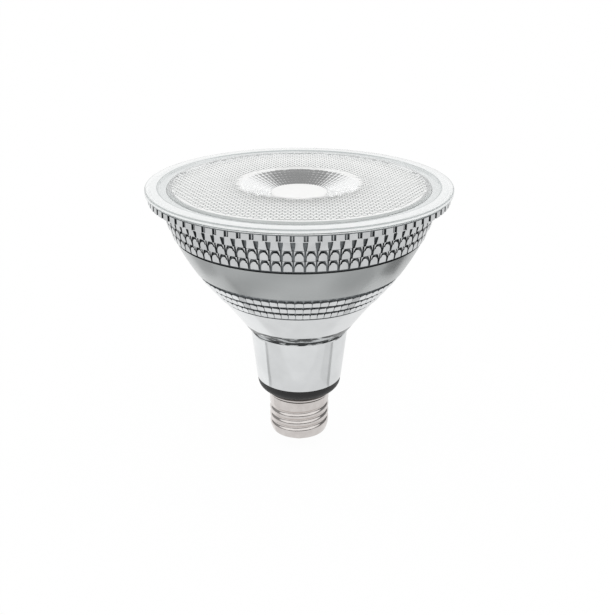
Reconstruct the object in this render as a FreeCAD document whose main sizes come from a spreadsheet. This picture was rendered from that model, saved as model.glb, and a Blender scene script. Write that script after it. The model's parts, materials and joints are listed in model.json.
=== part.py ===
"""A PAR38 spotlight lamp: silvered glass bowl, clear beaded lens and screw base.

The lamp stands upright in its own frame: +Z runs from the base to the lens, and
the origin is the middle of the centre contact's lower face. Lengths are in
millimetres.
"""
import FreeCAD, Part

import math
import os

import Sketcher
from FreeCAD import Rotation, Vector

doc = FreeCAD.newDocument("par_spotlight_lamp")

# Driving dimensions: each is a size that can be changed by itself
DRIVING_SIZES = {
    # Heights, stacked from the centre contact upwards
    "contact_height": 1.5,
    "insulator_height": 3.5,
    "shell_height": 20.9,
    "collar_height": 5.4,
    "neck_height": 23.5,
    "cone_height": 17.9,
    "low_row_height": 3.65,
    "band_height": 14.85,
    "high_row_height": 4.53,
    "flange_height": 2.71,
    "seal_height": 0.5,
    "rim_height": 1.7,
    "lens_rise": 0.4,
    # Glass bowl
    "flange_radius": 60.0,
    "bowl_mouth_radius": 56.2,
    "band_top_radius": 50.95,
    "band_middle_radius": 47.6,
    "band_bottom_radius": 43.3,
    "cone_top_radius": 34.6,
    "cone_bottom_radius": 21.7,
    "cone_hollow": 0.5,
    "cone_step": 1.0,
    "neck_top_radius": 20.65,
    "neck_bottom_radius": 18.35,
    "glass_wall": 2.6,
    "row_overhang": 0.45,
    "row_setback": 0.35,
    "block_count": 80,
    "high_gap_width": 1.4,
    "high_gap_depth": 0.9,
    "low_gap_width": 0.5,
    "low_gap_depth": 0.6,
    "mouth_bore_radius": 52.6,
    "mouth_bore_depth": 5.6,
    "ledge_width": 1.6,
    # Lens
    "rim_radius": 61.0,
    "rim_edge": 0.35,
    "rim_land": 5.8,
    "channel_width": 4.0,
    "channel_depth": 0.8,
    "dome_edge": 0.1,
    "dome_bulge": 0.2,
    "dish_radius": 24.1,
    "dish_depth": 4.1,
    "lens_wall": 2.4,
    "spigot_wall": 2.0,
    "seal_inset": 1.4,
    # Light engine
    "window_radius": 11.3,
    "window_edge": 0.2,
    "window_flange": 1.6,
    "window_flange_wall": 0.6,
    "tube_wall": 1.2,
    "plate_wall": 1.0,
    "dish_foil": 0.5,
    "deck_rise": 8.35,
    "deck_wall": 2.0,
    "deck_edge": 1.0,
    "skirt_wall": 1.6,
    "pad_wall": 0.3,
    "led_board_radius": 18.4,
    "led_board_wall": 1.6,
    "chip_width": 15.0,
    "chip_wall": 1.0,
    "phosphor_radius": 6.5,
    "phosphor_wall": 0.6,
    "screw_circle": 15.8,
    "screw_radius": 1.5,
    "screw_head_radius": 2.3,
    "screw_head_height": 1.6,
    "screw_slot": 0.5,
    # Driver
    "sleeve_wall": 1.2,
    "sleeve_seat_depth": 3.3,
    "sleeve_top_radius": 23.0,
    "sleeve_flare_start": 3.0,
    "sleeve_flare_height": 10.0,
    "sleeve_flange": 3.6,
    "sleeve_hole": 8.0,
    "board_wall": 1.6,
    "board_height": 52.0,
    "wire_radius": 0.6,
    "lead_radius": 0.8,
    # Screw base
    "collar_radius": 18.2,
    "collar_low_radius": 14.3,
    "collar_side": 1.4,
    "collar_bulge": 0.9,
    "collar_bore": 10.0,
    "collar_spigot": 12.5,
    "thread_radius": 13.1,
    "thread_depth": 0.85,
    "thread_pitch": 3.629,
    "thread_crest_height": 20.4,
    "shell_wall": 0.35,
    "shell_flare": 1.0,
    "shell_flare_height": 2.0,
    "shell_lip_height": 4.4,
    "shell_end_radius": 12.2,
    "insulator_top_radius": 11.7,
    "insulator_low_radius": 5.8,
    "insulator_plug": 2.0,
    "contact_radius": 5.2,
    "contact_edge": 0.5,
    "rivet_radius": 1.2,
    "rivet_head": 0.8,
    # Running clearances
    "fit_gap": 0.15,
    "slip_gap": 0.3,
}

sheet = doc.addObject("Spreadsheet::Sheet", "Sizes")
for row, (alias, number) in enumerate(DRIVING_SIZES.items(), start=1):
    sheet.set("A%d" % row, alias)
    sheet.set("B%d" % row, str(number))
    sheet.setAlias("B%d" % row, alias)
doc.recompute()


class Size:
    """A length that knows its value and the sheet expression that gives it."""

    def __init__(self, value, text):
        self.value = float(value)
        self.text = text

    def __add__(self, other):
        other = as_size(other)
        return Size(self.value + other.value, "(%s + %s)" % (self.text, other.text))

    def __sub__(self, other):
        other = as_size(other)
        return Size(self.value - other.value, "(%s - %s)" % (self.text, other.text))

    def __mul__(self, other):
        other = as_size(other)
        return Size(self.value * other.value, "(%s * %s)" % (self.text, other.text))

    def __truediv__(self, other):
        other = as_size(other)
        return Size(self.value / other.value, "(%s / %s)" % (self.text, other.text))

    def __neg__(self):
        return Size(-self.value, "(0 - %s)" % self.text)


def as_size(number):
    """A plain number as a Size."""
    return number if isinstance(number, Size) else Size(number, "%.9f" % number)


def size(alias):
    """The Size of one cell of the sheet."""
    return Size(sheet.get(alias), "Sizes." + alias)


AXIS = as_size(0.0)
FIT = size("fit_gap")
SLIP = size("slip_gap")

# Levels, from the centre contact upwards
shell_bottom = size("contact_height") + size("insulator_height")
shell_top = shell_bottom + size("shell_height")
neck_bottom = shell_top + size("collar_height")
neck_top = neck_bottom + size("neck_height")
cone_top = neck_top + size("cone_height")
band_bottom = cone_top + size("low_row_height") * 3
band_top = band_bottom + size("band_height")
flange_bottom = band_top + size("high_row_height") * 3
flange_top = flange_bottom + size("flange_height")
rim_bottom = flange_top + size("seal_height")
rim_top = rim_bottom + size("rim_height")
mouth_ledge = flange_top - size("mouth_bore_depth")
plate_top = mouth_ledge + size("plate_wall")
dish_lip = rim_top + size("lens_rise")
dish_floor = dish_lip - size("dish_depth")
deck_bottom = band_bottom + size("deck_rise")
deck_top = deck_bottom + size("deck_wall")
led_board_bottom = deck_top + size("pad_wall")
led_board_top = led_board_bottom + size("led_board_wall")
sleeve_bottom = neck_bottom - size("sleeve_seat_depth")
board_bottom = sleeve_bottom + size("sleeve_wall")

# Radii that several pieces share
sleeve_radius = size("neck_bottom_radius") - size("glass_wall") - SLIP
tube_bore = size("window_radius") + SLIP * 2
tube_radius = tube_bore + size("tube_wall")
shell_bore = size("thread_radius") - size("thread_depth") - size("shell_wall")
board_face = size("board_wall") / 2

pieces = []


def piece(item):
    """Count an object as one sub-part of the lamp."""
    pieces.append(item)
    return item


def origin_part(body, role):
    """A plane or an axis of a body's own origin."""
    return next(item for item in body.Origin.OriginFeatures if item.Role == role)


def pin_point(sketch, index, end, r, z):
    """Hold one end of an edge at the Sizes r and z."""
    for kind, axis, value in (("DistanceX", -2, r), ("DistanceY", -1, z)):
        if value.value == 0.0:
            sketch.addConstraint(Sketcher.Constraint("PointOnObject", index, end, axis))
            continue
        held = sketch.addConstraint(
            Sketcher.Constraint(kind, -1, 1, index, end, value.value))
        sketch.setExpression("Constraints[%d]" % held, value.text)


def outline(body, label, points):
    """A closed outline in the XZ plane through points of Sizes (r, z).

    A point with four Sizes starts a round stretch, and its last two are a point
    that the arc passes through.
    """
    sketch = body.newObject("Sketcher::SketchObject", label)
    sketch.AttachmentSupport = (origin_part(body, "XZ_Plane"), [""])
    sketch.MapMode = "FlatFace"
    ends = []
    for number, point in enumerate(points):
        following = points[(number + 1) % len(points)]
        start = Vector(point[0].value, point[1].value, 0)
        stop = Vector(following[0].value, following[1].value, 0)
        if len(point) == 2:
            edge = sketch.addGeometry(Part.LineSegment(start, stop))
            ends.append((edge, 1, 2))
            continue
        middle = Vector(point[2].value, point[3].value, 0)
        edge = sketch.addGeometry(Part.Arc(start, middle, stop))
        forwards = sketch.getPoint(edge, 1).distanceToPoint(start) < 1e-6
        ends.append((edge, 1, 2) if forwards else (edge, 2, 1))
        handle = sketch.addGeometry(Part.Point(middle), True)
        pin_point(sketch, handle, 1, point[2], point[3])
        sketch.addConstraint(Sketcher.Constraint("PointOnObject", handle, 1, edge))
    for number, point in enumerate(points):
        edge, first, last = ends[number]
        next_edge, next_first, _ = ends[(number + 1) % len(points)]
        sketch.addConstraint(
            Sketcher.Constraint("Coincident", edge, last, next_edge, next_first))
        pin_point(sketch, edge, first, point[0], point[1])
    return sketch


def turned(label, points):
    """A body turned about the lamp's axis from its half section."""
    body = doc.addObject("PartDesign::Body", label)
    sketch = outline(body, label + "_section", points)
    spin = body.newObject("PartDesign::Revolution", label + "_turning")
    spin.Profile = sketch
    spin.ReferenceAxis = (sketch, ["V_Axis"])
    spin.Angle = 360
    return body


def cut_around(body, label, points, width, count):
    """Cut one slot of a given width through an outline and repeat it round the axis."""
    sketch = outline(body, label + "_section", points)
    slot = body.newObject("PartDesign::Pocket", label + "_slot")
    slot.Profile = sketch
    slot.Midplane = True
    slot.setExpression("Length", width.text)
    slot.Length = width.value
    pattern = body.newObject("PartDesign::PolarPattern", label + "_pattern")
    pattern.Originals = [slot]
    pattern.Axis = (sketch, ["V_Axis"])
    pattern.Angle = 360
    pattern.Occurrences = int(count.value)
    pattern.setExpression("Occurrences", count.text)
    slot.Refine = False
    pattern.Refine = False
    body.Tip = pattern


def place(item, x, y, z):
    """Hold an object's own origin at three Sizes."""
    item.Placement.Base = Vector(x.value, y.value, z.value)
    item.setExpression("Placement.Base.x", x.text)
    item.setExpression("Placement.Base.y", y.text)
    item.setExpression("Placement.Base.z", z.text)
    return item


def block(label, x_size, y_size, z_size, x, y, z):
    """A box with its lowest corner at x, y, z."""
    box = doc.addObject("Part::Box", label)
    for name, value in (("Length", x_size), ("Width", y_size), ("Height", z_size)):
        box.setExpression(name, value.text)
    return place(box, x, y, z)


def rod(label, radius, length, x, y, z, direction="z"):
    """A round rod that starts at x, y, z and runs along z or y."""
    bar = doc.addObject("Part::Cylinder", label)
    bar.setExpression("Radius", radius.text)
    bar.setExpression("Height", length.text)
    if direction == "y":
        bar.Placement.Rotation = Rotation(Vector(1, 0, 0), -90)
    return place(bar, x, y, z)


def joined(label, items):
    """Several objects fused into one."""
    fused = doc.addObject("Part::MultiFuse", label)
    fused.Shapes = items
    return fused


def cut(label, base, tools):
    """One object with others cut out of it."""
    group = doc.addObject("Part::Compound", label + "_tools")
    group.Links = tools
    result = doc.addObject("Part::Cut", label)
    result.Base = base
    result.Tool = group
    return result


def solid_piece(label, shape):
    """A sub-part whose solid is worked out below."""
    item = doc.addObject("Part::Feature", label)
    item.Shape = shape
    item.Placement = FreeCAD.Placement()
    return item


# Screw base
def make_centre_contact():
    """The tinned button that the holder's tongue presses on, with its rivet."""
    bottom = AXIS
    top = size("contact_height")
    edge = size("contact_edge")
    radius = size("contact_radius")
    stem = size("rivet_radius") - FIT
    stem_top = shell_bottom + size("insulator_plug") + size("rivet_head")
    return turned("centre_contact", [
        (AXIS, bottom),
        (radius - edge * 2, bottom),
        (radius, bottom + edge),
        (radius, top),
        (stem, top),
        (stem, stem_top),
        (AXIS, stem_top),
    ])


def make_base_insulator():
    """The black glass cone between the centre contact and the shell."""
    low = size("contact_height")
    plug_top = shell_bottom + size("insulator_plug")
    return turned("base_insulator", [
        (size("rivet_radius"), low),
        (size("insulator_low_radius"), low),
        (size("insulator_top_radius"), shell_bottom),
        (size("insulator_top_radius"), plug_top),
        (size("rivet_radius"), plug_top),
    ])


THREAD_FADE_TURNS = 0.35
THREAD_LAST_TURN = -0.62
THREAD_FIRST_TURN = -4.0


def smooth_step(amount):
    """0 below 0, 1 above 1, and a smooth rise between."""
    amount = min(max(amount, 0.0), 1.0)
    return amount * amount * (3.0 - 2.0 * amount)


def shell_radius(height, turn):
    """The rolled shell's outer radius at a height and a part of a turn."""
    rise = (height - size("thread_crest_height").value) / size("thread_pitch").value
    groove = math.floor(rise - turn)
    across = rise - turn - groove
    along = turn + groove
    depth = size("thread_depth").value * (0.5 - 0.5 * math.cos(2.0 * math.pi * across))
    depth *= smooth_step((THREAD_LAST_TURN - along) / THREAD_FADE_TURNS)
    depth *= smooth_step((along - THREAD_FIRST_TURN) / THREAD_FADE_TURNS)
    lip = size("shell_lip_height").value
    low = max(0.0, 1.0 - (height - shell_bottom.value) / lip)
    taper = (size("thread_radius") - size("shell_end_radius")).value * low * low
    return size("thread_radius").value - depth * (1.0 - low) - taper


THREAD_STEPS_IN_PITCH = 7
THREAD_STEPS_IN_TURN = 24


def thread_ring(height, radius_at):
    """The corners of one ring round the axis, from the seam at the back."""
    corners = []
    for step in range(THREAD_STEPS_IN_TURN):
        turn = step / THREAD_STEPS_IN_TURN - 0.75
        radius = radius_at(turn)
        angle = 2.0 * math.pi * turn
        corners.append(Vector(radius * math.cos(angle), radius * math.sin(angle), height))
    return corners


def ringed_solid(rings):
    """A solid skinned through rings that follow one another round a closed section."""
    faces = []
    for low, high in zip(rings, rings[1:] + rings[:1]):
        for step in range(THREAD_STEPS_IN_TURN):
            following = (step + 1) % THREAD_STEPS_IN_TURN
            first, second, third, fourth = low[step], low[following], high[following], high[step]
            for corners in ((first, second, third), (first, third, fourth)):
                faces.append(Part.Face(Part.makePolygon(corners + corners[:1])))
    skin = Part.makeShell(faces)
    skin.sewShape()
    return Part.Solid(skin)


def make_screw_shell():
    """The thin shell with its thread rolled in, and the flare that seats it."""
    low = shell_bottom.value
    high = (shell_top - size("shell_flare_height")).value
    wall = size("shell_wall").value
    rim = (size("thread_radius") + size("shell_flare")).value
    bore = (size("thread_radius") - size("shell_wall")).value
    steps = round((high - low) / size("thread_pitch").value * THREAD_STEPS_IN_PITCH)
    heights = [low + (high - low) * step / steps for step in range(steps + 1)]
    outer = [thread_ring(height, lambda turn: shell_radius(height, turn))
             for height in heights]
    flare = [thread_ring(high, lambda turn: rim),
             thread_ring(shell_top.value, lambda turn: rim),
             thread_ring(shell_top.value, lambda turn: bore)]
    inner = [thread_ring(height, lambda turn: shell_radius(height, turn) - wall)
             for height in reversed(heights)]
    return solid_piece("screw_shell", ringed_solid(outer + flare + inner))


def make_base_collar():
    """The black plastic ring that joins the glass neck to the shell."""
    spigot = shell_bore - FIT
    low = size("collar_low_radius")
    side = size("collar_radius") - FIT
    shoulder = neck_bottom - size("collar_side")
    bulge = size("collar_bulge")
    return turned("base_collar", [
        (size("collar_bore"), shell_top - size("collar_spigot")),
        (spigot, shell_top - size("collar_spigot")),
        (spigot, shell_top),
        (low, shell_top, (low + side) / 2 + bulge, (shell_top + shoulder) / 2 - bulge / 2),
        (side, shoulder),
        (size("collar_radius"), neck_bottom),
        (sleeve_radius + FIT, neck_bottom),
        (sleeve_radius + FIT, sleeve_bottom),
        (size("collar_bore"), sleeve_bottom),
    ])


# Glass bowl
def row_points(bottom, low_radius, row_height, row_growth):
    """The sawtooth of three rows of blocks, from the lowest up."""
    points = []
    for number in range(3):
        level = bottom + row_height * number
        radius = low_radius + row_growth * number
        points.append((radius + size("row_overhang"), level))
        points.append((radius + row_growth - size("row_setback"), level + row_height))
    return points


def make_reflector_body():
    """The silvered bowl and neck, pressed in one piece with its rows of blocks."""
    wall = size("glass_wall")
    low_growth = (size("band_bottom_radius") - size("cone_top_radius")) / 3
    high_growth = (size("bowl_mouth_radius") - size("band_top_radius")) / 3
    band_middle = (band_bottom + band_top) / 2
    cone_bottom = neck_top + size("cone_step")
    cone_middle = (cone_bottom + cone_top) / 2
    cone_waist = (size("cone_bottom_radius") + size("cone_top_radius")) / 2
    cone_waist = cone_waist - size("cone_hollow")
    points = [
        (size("neck_bottom_radius") - wall, neck_bottom),
        (size("neck_bottom_radius"), neck_bottom),
        (size("neck_top_radius"), neck_top),
        (size("cone_bottom_radius"), cone_bottom, cone_waist, cone_middle),
        (size("cone_top_radius"), cone_top),
    ]
    points += row_points(cone_top, size("cone_top_radius"), size("low_row_height"), low_growth)
    points.append((size("band_bottom_radius"), band_bottom,
                   size("band_middle_radius"), band_middle))
    points.append((size("band_top_radius"), band_top))
    points += row_points(band_top, size("band_top_radius"), size("high_row_height"),
                         high_growth)
    points += [
        (size("flange_radius"), flange_bottom),
        (size("flange_radius"), flange_top),
        (size("mouth_bore_radius"), flange_top),
        (size("mouth_bore_radius"), mouth_ledge),
        (size("mouth_bore_radius") - size("ledge_width"), mouth_ledge),
        (size("band_top_radius") - wall, band_top,
         size("band_middle_radius") - wall, band_middle),
        (size("band_bottom_radius") - wall, band_bottom),
        (size("band_bottom_radius") - wall - size("ledge_width"), band_bottom),
        (size("cone_top_radius") - wall, cone_top, cone_waist - wall, cone_middle),
        (size("cone_bottom_radius") - wall, cone_bottom),
        (size("neck_top_radius") - wall, neck_top),
    ]
    body = turned("reflector_body", points)
    deep = size("high_gap_depth")
    outside = size("flange_radius") + 1
    cut_around(body, "high_gap", [
        (size("band_top_radius") - deep, band_top),
        (size("bowl_mouth_radius") - deep, flange_bottom),
        (size("flange_radius") - deep, flange_bottom),
        (size("flange_radius") - deep, flange_top),
        (outside, flange_top),
        (outside, band_top),
    ], size("high_gap_width"), size("block_count"))
    deep = size("low_gap_depth")
    cut_around(body, "low_gap", [
        (size("cone_top_radius") - deep, cone_top),
        (size("band_bottom_radius") - deep, band_bottom),
        (size("band_bottom_radius") + 1, band_bottom),
        (size("band_bottom_radius") + 1, cone_top),
    ], size("low_gap_width"), size("block_count"))
    return body


def make_rim_seal():
    """The thin ring of clear sealant between the glass flange and the lens."""
    outer = size("flange_radius") - size("seal_inset")
    return turned("rim_seal", [
        (size("mouth_bore_radius"), flange_top),
        (outer, flange_top),
        (outer, rim_bottom),
        (size("mouth_bore_radius"), rim_bottom),
    ])


# Lens and light engine
def make_front_lens():
    """The clear moulded lens: rim, channel, domed field and shallow central dish."""
    wall = size("lens_wall")
    hole = size("window_radius") + FIT
    channel_outer = size("rim_radius") - size("rim_land")
    channel_inner = channel_outer - size("channel_width")
    channel_floor = rim_top - size("channel_depth")
    dome_low = rim_top + size("dome_edge")
    dome_middle = (size("dish_radius") + channel_inner) / 2
    dome_crown = (dish_lip + dome_low) / 2 + size("dome_bulge")
    spigot = size("mouth_bore_radius") - FIT
    spigot_bore = spigot - size("spigot_wall")
    return turned("front_lens", [
        (hole, dish_floor),
        (size("dish_radius"), dish_lip, dome_middle, dome_crown),
        (channel_inner, dome_low),
        (channel_inner, channel_floor),
        (channel_outer, channel_floor),
        (channel_outer, rim_top),
        (size("rim_radius") - size("rim_edge"), rim_top),
        (size("rim_radius"), rim_top - size("rim_edge")),
        (size("rim_radius"), rim_bottom),
        (spigot, rim_bottom),
        (spigot, plate_top + FIT),
        (spigot_bore, plate_top + FIT),
        (spigot_bore, dome_low - wall, dome_middle, dome_crown - wall),
        (size("dish_radius"), dish_lip - wall),
        (hole, dish_floor - wall),
    ])


def make_centre_window():
    """The frosted disc that closes the dish and lets the light out."""
    edge = size("window_edge")
    radius = size("window_radius")
    flange = radius + size("window_flange")
    flange_top_level = plate_top + size("window_flange_wall")
    return turned("centre_window", [
        (AXIS, plate_top),
        (flange, plate_top),
        (flange, flange_top_level),
        (radius, flange_top_level),
        (radius, dish_floor - edge),
        (radius - edge, dish_floor),
        (AXIS, dish_floor),
    ])


def make_dish_reflector():
    """The pressed bright ring that backs the lens's dish."""
    foil = size("dish_foil")
    slope = size("dish_depth") / (size("dish_radius") - size("window_radius") - FIT)
    inner = tube_radius + size("window_flange")
    outer = size("dish_radius") - foil
    under_lens = dish_floor - size("lens_wall") - FIT
    inner_level = under_lens + slope * (inner - size("window_radius") - FIT)
    outer_level = under_lens + slope * (outer - size("window_radius") - FIT)
    return turned("dish_reflector", [
        (inner, plate_top),
        (inner + foil, plate_top),
        (inner + foil, inner_level - foil),
        (outer, outer_level - foil),
        (outer, outer_level),
        (inner, inner_level),
    ])


def make_inner_reflector():
    """The white plate under the lens, in one with the tube down to the board."""
    plate_radius = size("mouth_bore_radius") - SLIP
    return turned("inner_reflector", [
        (tube_bore, led_board_top),
        (tube_radius, led_board_top),
        (tube_radius, mouth_ledge),
        (plate_radius, mouth_ledge),
        (plate_radius, plate_top),
        (tube_bore, plate_top),
    ])


def around(radius, degrees):
    """The x and y of a place on a circle about the axis."""
    angle = math.radians(degrees)
    return radius * math.cos(angle), radius * math.sin(angle)


SCREW_ANGLES = (30.0, 150.0, 270.0)
LEAD_SPREAD = 2.8
LEAD_CLEARANCE = 1.0


def lead_circle():
    """How far out the board's leads pass through the deck."""
    return size("led_board_radius") + size("lead_radius") + LEAD_CLEARANCE


def screw_holes(label, low, tall):
    """Clearance holes for the board's screws."""
    holes = []
    for degrees in SCREW_ANGLES:
        x, y = around(size("screw_circle"), degrees)
        holes.append(rod("%s_%d" % (label, degrees), size("screw_radius"), tall, x, y, low))
    return holes


def make_heat_sink():
    """The spun aluminium deck and skirt that carry the light's heat to the glass."""
    seat = size("band_bottom_radius") - size("glass_wall") - SLIP
    deck = size("band_middle_radius") - size("glass_wall") - SLIP
    edge = size("deck_edge")
    skirt = size("skirt_wall")
    blank = turned("heat_sink_blank", [
        (AXIS, deck_bottom),
        (deck - skirt, deck_bottom),
        (seat - skirt, band_bottom),
        (seat, band_bottom),
        (deck, deck_top - edge),
        (deck - edge, deck_top),
        (AXIS, deck_top),
    ])
    holes = screw_holes("deck_hole", deck_bottom, size("deck_wall"))
    for side in (-1, 1):
        holes.append(rod("lead_hole_%d" % (side + 1), size("lead_radius") + SLIP,
                         size("deck_wall"), as_size(side * LEAD_SPREAD), lead_circle(),
                         deck_bottom))
    return cut("heat_sink", blank, holes)


def make_thermal_pad():
    """The grey pad between the light board and the deck."""
    blank = rod("thermal_pad_blank", size("led_board_radius"), size("pad_wall"),
                AXIS, AXIS, deck_top)
    return cut("thermal_pad", blank,
               screw_holes("pad_hole", deck_top, size("pad_wall")))


def make_led_board():
    """The round aluminium-cored board."""
    blank = rod("led_board_blank", size("led_board_radius"), size("led_board_wall"),
                AXIS, AXIS, led_board_bottom)
    return cut("led_board", blank,
               screw_holes("board_hole", led_board_bottom, size("led_board_wall")))


def make_led_chip():
    """The square ceramic carrier of the light source."""
    half = size("chip_width") / 2
    return block("led_chip", size("chip_width"), size("chip_width"), size("chip_wall"),
                 -half, -half, led_board_top)


def make_led_phosphor():
    """The round yellow phosphor on the carrier."""
    return rod("led_phosphor", size("phosphor_radius"), size("phosphor_wall"),
               AXIS, AXIS, led_board_top + size("chip_wall"))


def make_board_screws():
    """Three pan-head screws that hold the board to the deck."""
    screws = []
    shank = size("screw_radius") - FIT
    length = led_board_top - deck_bottom
    slot = size("screw_slot")
    head_radius = size("screw_head_radius")
    head_top = led_board_top + size("screw_head_height")
    for degrees in SCREW_ANGLES:
        x, y = around(size("screw_circle"), degrees)
        name = "screw_%d" % degrees
        stem = rod(name + "_stem", shank, length, x, y, deck_bottom)
        head = rod(name + "_head", head_radius, size("screw_head_height"),
                   x, y, led_board_top)
        groove = block(name + "_slot", head_radius * 3, slot, slot * 2,
                       x - head_radius * 1.5, y - slot / 2, head_top - slot * 2)
        screws.append(cut(name, joined(name + "_blank", [stem, head]), [groove]))
    group = doc.addObject("Part::Compound", "board_screws")
    group.Links = screws
    return group


# Driver
def make_driver_sleeve():
    """The insulating plastic cup round the driver, hung from the deck."""
    wall = size("sleeve_wall")
    top_radius = size("sleeve_top_radius")
    flare_bottom = neck_top + size("sleeve_flare_start")
    flare_top = flare_bottom + size("sleeve_flare_height")
    flange = top_radius + size("sleeve_flange")
    return turned("driver_sleeve", [
        (size("sleeve_hole"), sleeve_bottom),
        (sleeve_radius, sleeve_bottom),
        (sleeve_radius, flare_bottom),
        (top_radius, flare_top),
        (top_radius, deck_bottom - wall),
        (flange, deck_bottom - wall),
        (flange, deck_bottom),
        (top_radius - wall, deck_bottom),
        (top_radius - wall, flare_top),
        (sleeve_radius - wall, flare_bottom),
        (sleeve_radius - wall, board_bottom),
        (size("sleeve_hole"), board_bottom),
    ])


def make_driver_board():
    """The driver's upright circuit board."""
    half = sleeve_radius - size("sleeve_wall") - SLIP
    return block("driver_board", half * 2, size("board_wall"), size("board_height"),
                 -half, -board_face, board_bottom)


def on_board(height):
    """A level given as a height above the driver board's lower edge."""
    return board_bottom + height


def make_bridge_rectifier():
    """The flat black rectifier on the board's back."""
    left = as_size(-8.0)
    wide = as_size(6.5)
    deep = as_size(2.5)
    tall = as_size(5.0)
    return block("bridge_rectifier", wide, deep, tall, left, -board_face - deep, on_board(7.0))


def make_control_chip():
    """The driver's control chip on the board's back."""
    left = as_size(1.0)
    wide = as_size(5.0)
    deep = as_size(1.6)
    tall = as_size(4.0)
    return block("control_chip", wide, deep, tall, left, -board_face - deep, on_board(21.0))


def make_power_transistor():
    """The switching transistor on the board's back."""
    left = as_size(-7.0)
    wide = as_size(6.5)
    deep = as_size(2.3)
    tall = as_size(6.2)
    return block("power_transistor", wide, deep, tall, left, -board_face - deep, on_board(29.0))


def make_fuse_resistor():
    """The fusible resistor at the mains end."""
    middle = as_size(-9.5)
    radius = as_size(1.8)
    tall = as_size(9.0)
    return rod("fuse_resistor", radius, tall, middle, board_face + radius, on_board(9.0))


def make_varistor():
    """The surge absorber, a disc on the board's front."""
    middle = as_size(4.0)
    radius = as_size(4.2)
    thick = as_size(3.6)
    return rod("varistor", radius, thick, middle, board_face, on_board(12.8), direction="y")


def make_film_capacitor():
    """The boxed film capacitor."""
    left = as_size(-8.0)
    wide = as_size(9.0)
    deep = as_size(5.0)
    tall = as_size(8.0)
    return block("film_capacitor", wide, deep, tall, left, board_face, on_board(21.0))


def make_electrolytic_capacitor():
    """The smoothing capacitor's can, upright beside the film capacitor."""
    middle = as_size(6.5)
    radius = as_size(4.0)
    tall = as_size(14.5)
    return rod("electrolytic_capacitor", radius, tall, middle, board_face + radius,
               on_board(19.5))


CORE_WIDTH = as_size(14.0)
CORE_HEIGHT = as_size(11.0)
CORE_BAR = as_size(2.0)
CORE_DEPTH = as_size(5.0)
CORE_LEG = as_size(3.5)
WINDING_DEPTH = as_size(9.6)
CORE_LEVEL = 35.3


def make_transformer_core():
    """The ferrite core, a frame with a middle leg."""
    low = on_board(CORE_LEVEL)
    back = board_face + (WINDING_DEPTH - CORE_DEPTH) / 2
    frame = block("core_frame", CORE_WIDTH, CORE_DEPTH, CORE_HEIGHT,
                  -CORE_WIDTH / 2, back, low)
    opening = block("core_opening", CORE_WIDTH - CORE_BAR * 2, CORE_DEPTH,
                    CORE_HEIGHT - CORE_BAR * 2, CORE_BAR - CORE_WIDTH / 2, back,
                    low + CORE_BAR)
    leg = block("core_leg", CORE_LEG, CORE_DEPTH, CORE_HEIGHT, -CORE_LEG / 2, back, low)
    return joined("transformer_core", [cut("core_ring", frame, [opening]), leg])


def make_transformer_winding():
    """The taped winding round the core's middle leg."""
    low = on_board(CORE_LEVEL) + CORE_BAR
    tall = CORE_HEIGHT - CORE_BAR * 2
    wide = CORE_WIDTH - CORE_BAR * 2 - SLIP
    coil = block("winding_blank", wide, WINDING_DEPTH, tall, -wide / 2, board_face, low)
    room_wide = CORE_LEG + FIT * 2
    room_deep = CORE_DEPTH + FIT * 2
    room = block("winding_room", room_wide, room_deep, tall, -room_wide / 2,
                 board_face + (WINDING_DEPTH - room_deep) / 2, low)
    return cut("transformer_winding", coil, [room])


def rounded_path(points):
    """Straight runs joined by arcs as large as the runs allow."""
    edges = []
    start = points[0]
    for before, corner, after in zip(points, points[1:], points[2:]):
        back = (before - corner).normalize()
        ahead = (after - corner).normalize()
        shorter = min((before - corner).Length, (after - corner).Length)
        trim = 0.45 * shorter
        first = corner + back * trim
        last = corner + ahead * trim
        half_turn = (math.pi - back.getAngle(ahead)) / 2
        radius = trim / math.tan(half_turn)
        bisector = (back + ahead).normalize()
        centre = corner + bisector * math.hypot(radius, trim)
        middle = centre - bisector * radius
        edges.append(Part.LineSegment(start, first).toShape())
        edges.append(Part.Arc(first, middle, last).toShape())
        start = last
    edges.append(Part.LineSegment(start, points[-1]).toShape())
    return Part.Wire(edges)


def wire(label, radius, stops):
    """A round wire along a list of stops, each an (x, y, z) of Sizes."""
    points = [Vector(x.value, y.value, z.value) for x, y, z in stops]
    path = rounded_path(points)
    ring = Part.makeCircle(radius.value, points[0], points[1] - points[0])
    return solid_piece(label, path.makePipeShell([Part.Wire([ring])], True, False))


def make_live_wire():
    """From the centre contact's rivet up to the board."""
    radius = size("wire_radius")
    rivet_top = shell_bottom + size("insulator_plug") + size("rivet_head")
    side = as_size(-5.0)
    beside = board_face + radius
    return wire("live_wire", radius, [
        (AXIS, AXIS, rivet_top),
        (AXIS, AXIS, rivet_top + 5.5),
        (side, beside, sleeve_bottom - 5.0),
        (side, beside, on_board(6.0)),
    ])


def make_neutral_wire():
    """From the inside of the shell up to the board."""
    radius = size("wire_radius")
    groove = size("thread_crest_height") - size("thread_pitch") * 2.5
    side = as_size(6.0)
    beside = board_face + radius
    return wire("neutral_wire", radius, [
        (shell_bore - FIT, AXIS, groove),
        (shell_bore - FIT - 3.2, AXIS, groove),
        (side, beside, groove + 9.0),
        (side, beside, on_board(6.0)),
    ])


def make_board_lead(label, side):
    """From the driver board through the deck and over to the light board."""
    radius = size("lead_radius")
    across = as_size(side * LEAD_SPREAD)
    beside = board_face + radius
    board_top = board_bottom + size("board_height")
    out = lead_circle()
    return wire(label, radius, [
        (across, beside, board_top - 4.0),
        (across, beside, board_top + 2.0),
        (across, out, deck_bottom - 2.5),
        (across, out, led_board_top + 2.4),
        (across, size("screw_circle"), led_board_top + radius),
    ])


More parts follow.
